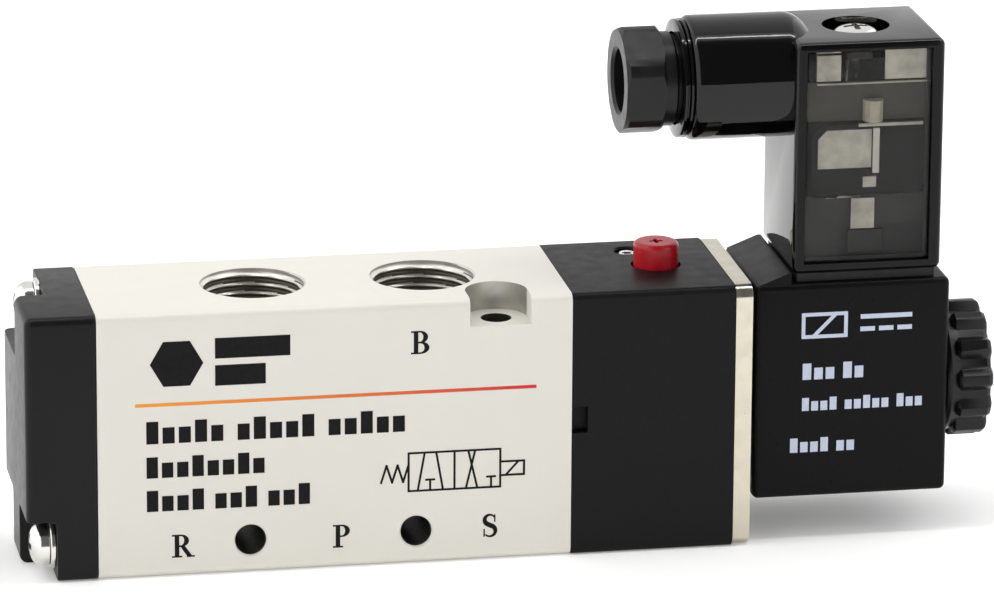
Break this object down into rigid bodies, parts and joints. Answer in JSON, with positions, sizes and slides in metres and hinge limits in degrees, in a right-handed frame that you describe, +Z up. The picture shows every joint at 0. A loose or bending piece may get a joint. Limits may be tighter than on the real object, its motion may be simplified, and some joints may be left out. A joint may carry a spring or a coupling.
{
  "type": "solenoid directional valve",
  "caption": "Single-solenoid pneumatic directional valve with spool body, end cap, pilot block with manual override, coil and cable plug.",
  "frame": {"origin": "centre of the valve's length and width, on the base plane of the body", "axes": "+X from the end cap towards the coil nut, -Y is the labelled face, +Z up through the plug"},
  "size_m": [0.1448, 0.027, 0.0775],
  "materials": {
    "champagne_aluminium": "fine matt champagne anodised",
    "black_plastic": "satin black with fine grain",
    "gloss_black": "glossy moulded black",
    "red_plastic": "satin red",
    "nickel": "nickel plated",
    "steel": "turned stainless steel",
    "brass": "turned brass",
    "copper_winding": "enamelled copper wire",
    "rubber": "matt black nitrile",
    "smoked_clear": "smoked clear moulding",
    "board": "dark circuit board",
    "lamp": "clear moulded lamp"
  },
  "bodies": {
    "valve": {"armature_spring": "steel", "armature_tube": "steel", "cap_screw_1": "nickel", "cap_screw_2": "nickel", "cap_screw_3": "nickel", "cap_washer_1": "nickel", "cap_washer_2": "nickel", "cap_washer_3": "nickel", "coil_bobbin": "black_plastic", "coil_housing": "black_plastic", "coil_pin_1": "nickel", "coil_pin_2": "nickel", "coil_pin_3": "nickel", "coil_seal": "rubber", "coil_winding": "copper_winding", "end_cap": "black_plastic", "end_cap_seal": "rubber", "fixed_core": "steel", "override_spring": "steel", "pilot_block": "black_plastic", "pilot_nozzle": "brass", "pilot_screw_1": "steel", "pilot_screw_2": "steel", "pilot_seal": "rubber", "plate_screw_1": "steel", "plate_screw_2": "steel", "return_spring": "steel", "solenoid_plate": "nickel", "valve_body": "champagne_aluminium", "vent_bush": "nickel"},
    "override_plunger": {"override_plunger": "steel", "override_seal": "rubber"},
    "override_button": {"override_button": "red_plastic"},
    "spool": {"spool": "steel", "spool_seal_1": "rubber", "spool_seal_2": "rubber", "spool_seal_3": "rubber", "spool_seal_4": "rubber", "spool_seal_5": "rubber", "spool_seal_6": "rubber", "pilot_piston": "black_plastic", "piston_seal": "rubber"},
    "armature": {"armature": "steel", "armature_seal": "rubber"},
    "coil_nut": {"coil_nut": "black_plastic"},
    "plug": {"plug_housing": "gloss_black", "plug_window": "smoked_clear", "plug_gasket": "rubber", "terminal_carrier": "black_plastic", "circuit_board": "board", "indicator_lamp": "lamp", "resistor": "lamp", "terminal_clamp_1": "nickel", "terminal_clamp_2": "nickel", "terminal_screw_1": "steel", "terminal_screw_2": "steel", "gland_washer": "nickel", "gland_grommet": "rubber"},
    "plug_screw": {"plug_screw": "nickel"},
    "gland_nut": {"gland_nut": "black_plastic"}
  },
  "joints": [
    {"name": "override_press", "type": "slide", "parent": "valve", "child": "override_plunger", "axis": [0, 0, -1], "range_m": [0, 0.002], "stiffness_N_per_m": 600, "deforming": ["override_spring"]},
    {"name": "override_turn", "type": "hinge", "parent": "override_plunger", "child": "override_button", "pos_m": [0.0229, 0, 0.04], "axis": [0, 0, 1], "range_deg": [0, 90]},
    {"name": "spool_shift", "type": "slide", "parent": "valve", "child": "spool", "axis": [-1, 0, 0], "range_m": [0, 0.003], "stiffness_N_per_m": 1500, "deforming": ["return_spring"]},
    {"name": "armature_lift", "type": "slide", "parent": "valve", "child": "armature", "axis": [1, 0, 0], "range_m": [0, 0.0009], "stiffness_N_per_m": 400, "deforming": ["armature_spring"]},
    {"name": "coil_nut_turn", "type": "hinge", "parent": "valve", "child": "coil_nut", "pos_m": [0.068, 0, 0.0218], "axis": [1, 0, 0], "continuous": true},
    {"name": "plug_pull", "type": "slide", "parent": "valve", "child": "plug", "axis": [0, 0, 1], "range_m": [0, 0.012]},
    {"name": "plug_screw_turn", "type": "hinge", "parent": "plug", "child": "plug_screw", "pos_m": [0.05245, 0, 0.072], "axis": [0, 0, 1], "continuous": true},
    {"name": "gland_nut_turn", "type": "hinge", "parent": "plug", "child": "gland_nut", "pos_m": [0.019, 0, 0.0683], "axis": [1, 0, 0], "continuous": true}
  ]
}
